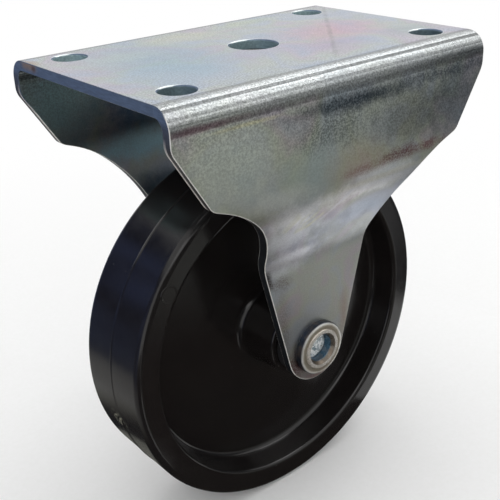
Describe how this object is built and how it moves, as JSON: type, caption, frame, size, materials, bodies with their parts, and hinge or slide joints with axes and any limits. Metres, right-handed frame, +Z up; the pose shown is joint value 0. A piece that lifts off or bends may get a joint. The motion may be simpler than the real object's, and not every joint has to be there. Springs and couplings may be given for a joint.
{
  "type": "fixed castor",
  "caption": "Fixed castor: a folded steel bracket with a top plate straddles a black moulded wheel that rolls straight ahead on a riveted axle.",
  "frame": {"origin": "centre of the top plate's upper face, which is screwed to the furniture", "axes": "+X the way the castor rolls, +Y along the axle towards the rivet's formed head, +Z up, out of the top plate"},
  "size_m": [0.1002, 0.066, 0.1271],
  "materials": {
    "zinc_plated_sheet": "bright zinc plate with a faint tint",
    "black_polypropylene": "moulded gloss",
    "zinc_plated_rivet": "bright zinc plate",
    "plain_steel_tube": "drawn tube",
    "black_nylon": "matte"
  },
  "bodies": {
    "bracket_frame": {"bracket": "zinc_plated_sheet", "axle_rivet": "zinc_plated_rivet", "rivet_washer": "zinc_plated_rivet", "axle_sleeve": "plain_steel_tube", "thrust_washer_near": "black_nylon", "thrust_washer_far": "black_nylon"},
    "rolling_wheel": {"wheel": "black_polypropylene"}
  },
  "joints": [
    {"name": "wheel_spin", "type": "hinge", "parent": "bracket_frame", "child": "rolling_wheel", "pos_m": [0, 0, -0.077], "axis": [0, 1, 0], "continuous": true}
  ]
}
